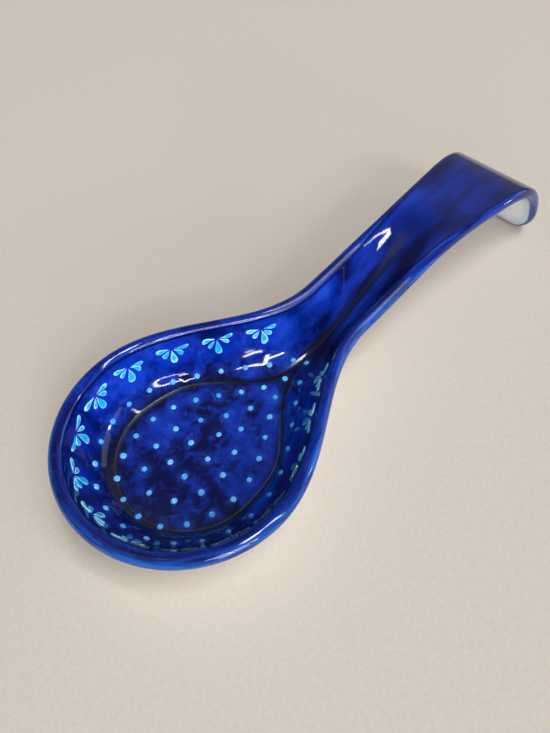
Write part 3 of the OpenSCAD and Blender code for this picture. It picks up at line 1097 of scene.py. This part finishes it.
# The second colour here is painted shade, for petals on the near wall.
petal_skirt, petal_in_shade = colour("#2a62d0"), colour("#0e2050")


def turquoise_slip_finish():
    f = new_finish("turquoise_slip")
    place = f.place()
    edge, tone = f.shade("edge"), f.shade("tone")
    uneven = edge + (f.cloud(place, 1.1, detail=3) - 0.5) * 0.6 + tone * 0.35
    slip = f.mix(uneven.rise(0.6, 1.25), turquoise, turquoise_edge)
    skirt = (edge + (f.cloud(place, 0.7) - 0.5) * 0.2).rise(0.9, 1.02)
    slip = f.mix(skirt, slip, petal_skirt)
    # Petals on the near wall are painted darker, as shade.
    slip = f.mix(shade_on_near_side(f, place) * 0.9, slip, petal_in_shade)
    return f.surface(Base_Color=slip, Roughness=0.1, IOR=gloss_ior)


# %% Where a petal lies
def petal_frame(place, turn, reach):
    """Middle and two directions of a petal whose middle lies reach from the root."""
    root = wall_points(place, sprig_drop)[0]
    rim_way = (wall_points(place + probe, sprig_drop)[0] - root) / probe
    wall_way = (wall_points(place, sprig_drop + probe)[0] - root) / probe
    skew = wall_way @ unit(rim_way)
    down = reach * math.cos(turn) / np.linalg.norm(wall_way - skew * unit(rim_way))
    u = place + (reach * math.sin(turn) - down * skew) / np.linalg.norm(rim_way)
    middle = wall_points(u, sprig_drop + down)[0]
    across = wall_points(u + probe, sprig_drop + down)[0] - middle
    up = unit(np.cross(wall_points(u, sprig_drop + down + probe)[0] - middle, across))
    downwards = unit(np.cross(across, up))
    east = math.cos(turn) * downwards + math.sin(turn) * unit(across)
    return middle, east, np.cross(up, east)


# %% The petals
petal_l, petal_rise = 7, 0.5
petal_turns = np.radians([0, 50, -50, 90, -90])
petal_length_shares = [1, 0.64, 0.64, 0.88, 0.88]
petal_width_shares = [0.44, 0.3, 0.3, 0.27, 0.27]
petal_gap_shares = [0.08, 0.12, 0.12, 0.1, 0.1]
petal_length_range, petal_width_range = (0.86, 1.05), (0.8, 1.1)
sprig_lean, petal_lean, petal_sway = 0.08, 0.07, 0.06
petal_sides = 40
petal_a = 2 * np.pi * np.arange(petal_sides) / petal_sides
drop_peak = 0.65
drop_rule = np.sin(petal_a) * np.sin(petal_a / 2) ** 2 / drop_peak


def petal_height(share):
    full = sunk_share + (1 - sunk_share) * share ** 2
    return petal_rise * (1 - share ** 8) * full


def sprig(place, side):
    marks = []
    flip = np.array([1, side, 1])
    lean = draw.normal(0, sprig_lean)
    for i, turn in enumerate(petal_turns):
        length = petal_l * petal_length_shares[i] * draw.uniform(*petal_length_range)
        width = petal_l * petal_width_shares[i] * draw.uniform(*petal_width_range)
        reach = petal_l * petal_gap_shares[i] + length / 2
        leaning = turn + lean + draw.normal(0, petal_lean)
        middle, east, north = petal_frame(place, leaning, reach)
        sway = draw.normal(0, petal_sway) * length * (1 - np.cos(2 * petal_a)) / 2
        outline = np.stack([-length / 2 * np.cos(petal_a), sway - width / 2 * drop_rule], -1)
        marks.append(slip_mark(middle * flip, east * flip, side * north * flip,
                               outline[::-1], petal_height))
    return marks


# %% All the sprigs
petals = sprig(sprig_places[0], 1)
for place in sprig_places[1:]:
    petals += sprig(place, 1) + sprig(place, -1)
piece = marks_piece("slip_petals", petals)
dress(piece, turquoise_slip_finish(), "turquoise_slip", "sprig_petals")

# %% [markdown]
# ## The table
#
# The piece stands on a plain pale surface with a faint grain, which is not part of it.
# Its width, like the places of the lamps and of the camera below, is in metres.

# %% The pale floor
table_tone, grain_tone = colour("#bfb6ac"), colour("#c5bdb4")


def floor_finish():
    f = new_finish("table_top")
    place = f.place()
    grain = f.cloud(place, 1.6, detail=4, coarse=0.7)
    tone = f.mix(grain.rise(0.3, 0.7), table_tone, grain_tone)
    return f.surface(Base_Color=tone, Roughness=0.9)


floor_size = 12
floor_mesh = bpy.data.meshes.new("table_top")
floor_corners = [(-1, -1, 0), (1, -1, 0), (1, 1, 0), (-1, 1, 0)]
floor_mesh.from_pydata([[c * floor_size / 2 for c in p] for p in floor_corners], [],
                       [(0, 1, 2, 3)])
floor = bpy.data.objects.new("table_top", floor_mesh)
bpy.context.scene.collection.objects.link(floor)
floor_mesh.materials.append(floor_finish())

# %% [markdown]
# ## Light
#
# Dark gloss shows what it mirrors, and its colour needs light that isn't mirrored in it
# as a hard spot. The sky gives the faint veil that all gloss has: dim near the horizon
# and paler overhead. Two paler patches in it, behind the hook and high over the handle,
# veil those two more than the floor of the bowl. A camera that looks past the table sees
# a pale backdrop instead, which only Is Camera Ray can show without adding light.

# %% The sky
def heading(azimuth, elevation):
    a, e = math.radians(azimuth), math.radians(elevation)
    return Vector((math.cos(a) * math.cos(e), math.sin(a) * math.cos(e), math.sin(e)))


sky = Finish(bpy.data.worlds.new("sky"))
sky_way = sky.node("TexCoord", take=0)
sky_height = sky.node("SeparateXYZ", sockets={0: sky_way}, take=2)


def patch(azimuth, elevation, reach, core):
    """1 within core degrees of a heading in the sky, and 0 beyond reach degrees."""
    facing = sky.node("VectorMath", {"operation": "DOT_PRODUCT"},
                      {0: sky_way, 1: heading(azimuth, elevation)}, take=1)
    return facing.rise(math.cos(math.radians(reach)), math.cos(math.radians(core)))


low_grey, top_grey = colour("#524f4c"), colour("#656360")
mid_grey, pale_grey = colour("#96938e"), colour("#b4b2ae")
backdrop = colour("#cfc8bf")
behind_hook = patch(azimuth=25, elevation=27, reach=38, core=12)
over_handle = patch(azimuth=115, elevation=74, reach=18, core=5)
is_camera_ray = sky.node("LightPath", take=0)
sky_tone = sky.mix(sky_height.rise(0.1, 0.9), low_grey, top_grey)
sky_tone = sky.mix(behind_hook, sky_tone, mid_grey)
sky_tone = sky.mix(over_handle, sky_tone, pale_grey)
sky_tone = sky.mix(is_camera_ray, sky_tone, backdrop)
sky_light = sky.node("Background", sockets={"Color": sky_tone})
sky.node("OutputWorld", sockets={"Surface": sky_light})
bpy.context.scene.world = sky.owner
print("the sky has", len(sky.tree.nodes), "nodes")

# %% [markdown]
# The bright lines on the wall and on the handle are a window, mirrored. One panel would
# mirror as a filled patch, but a window shows its frame, so bars of lamps are laid along
# its outline, each between directions that were worked out from where its line lies on
# the glaze. A direction is an azimuth and an elevation in degrees. Two bars are dimmer,
# where a line fades, and two dim panels lay the pale crescent on the wall's left end.
# Two large soft lamps light the colours and aren't mirrored: one high up, and a low one
# that reaches in under the handle, to the white inside of the hook.

# %% A lamp between two directions
aim = Vector((0.05, 0, 0.02))
lamp_distance = 10


def strip_lamp(name, start, end, width, brightness):
    """A lamp along the line between two directions, width degrees broad."""
    first, last = (aim + lamp_distance * heading(*d) for d in (start, end))
    data = bpy.data.lights.new(name, "AREA")
    data.shape = "RECTANGLE"
    data.size = (last - first).length
    data.size_y = lamp_distance * math.radians(width)
    data.energy = brightness * math.pi * data.size * data.size_y
    lamp = bpy.data.objects.new(name, data)
    x = (last - first).normalized()
    middle = (first + last) / 2
    z = middle - aim
    z = (z - z.dot(x) * x).normalized()
    facing = Matrix((x, z.cross(x), z)).transposed().to_4x4()
    lamp.matrix_world = Matrix.Translation(middle) @ facing
    bpy.context.scene.collection.objects.link(lamp)
    lamp.visible_camera = False
    print(name, round(data.energy, 2), "W")
    return lamp


# %% The bars of the window
bar_brightness = 22
window_bars = {
    "low_bar": (3.5, [(-117, 11), (-97, 11)]),
    "end_bar": (1.8, [(-96, 12), (-93, 15), (-92, 19), (-92, 24), (-94, 28)]),
    "upper_bar": (3.5, [(-94, 28), (-98, 31), (-110, 31)]),
    "hook_bar": (2.3, [(-119, 16), (-114, 15), (-110, 17)]),
    "stem_bar": (2.5, [(-108, 24), (-110, 33), (-112, 41)]),
    "side_bar": (3, [(-112, 41), (-118, 34), (-126, 32)]),
    "arm_bar": (1.8, [(-63, 51), (-53, 67)]),
    "corner_bar": (3.2, [(-53, 67), (-25, 77)]),
    "return_bar": (6.5, [(-26, 79), (-59, 78), (-77, 73), (-82, 67)]),
    "glint_bar": (4, [(-41, 12), (-43, 16)])}
for bar, (width, corners) in window_bars.items():
    for i in range(len(corners) - 1):
        strip_lamp(f"{bar}_{i + 1}", corners[i], corners[i + 1], width, bar_brightness)

# %% Dimmer bars, side panels and soft lamps
dim_lamps = {
    "dim_bar_1": ((-66, 34), (-66, 42), 1.5, 8),
    "dim_bar_2": ((-66, 42), (-63, 51), 1.6, 14),
    "side_panel_1": ((-62, 11), (-36, 12), 14, 0.95),
    "side_panel_2": ((-36, 14), (-8, 14), 22, 0.95)}
soft_lamps = {
    "soft_key": ((-130, 50), (-50, 50), 40, 1.85),
    "low_fill": ((-155, 11), (-125, 11), 26, 3.8)}
for light, measures in (dim_lamps | soft_lamps).items():
    lamp = strip_lamp(light, *measures)
    lamp.visible_glossy = light in dim_lamps

# %% [markdown]
# ## The camera
#
# The camera looks down on the bowl from the front and one side. Its place, its two
# angles and its lens were found by fitting the outline of this model to the photograph.

# %% The camera
image_size = (550, 733)
focal_pixels = 560
camera_place = (-0.0437, -0.0875, 0.1959)
camera_pitch, camera_turn = 54.6033, 44.9276
camera_data = bpy.data.cameras.new("camera")
camera_data.lens = focal_pixels * camera_data.sensor_width / max(image_size)
camera_data.clip_start = 0.01
camera = bpy.data.objects.new("camera", camera_data)
camera.location = camera_place
camera.rotation_euler = (math.radians(90 - camera_pitch), 0, math.radians(-camera_turn))
bpy.context.scene.collection.objects.link(camera)
bpy.context.scene.camera = camera
bpy.context.scene.view_settings.view_transform = "Standard"
print("camera lens:", round(camera_data.lens, 2), "mm")
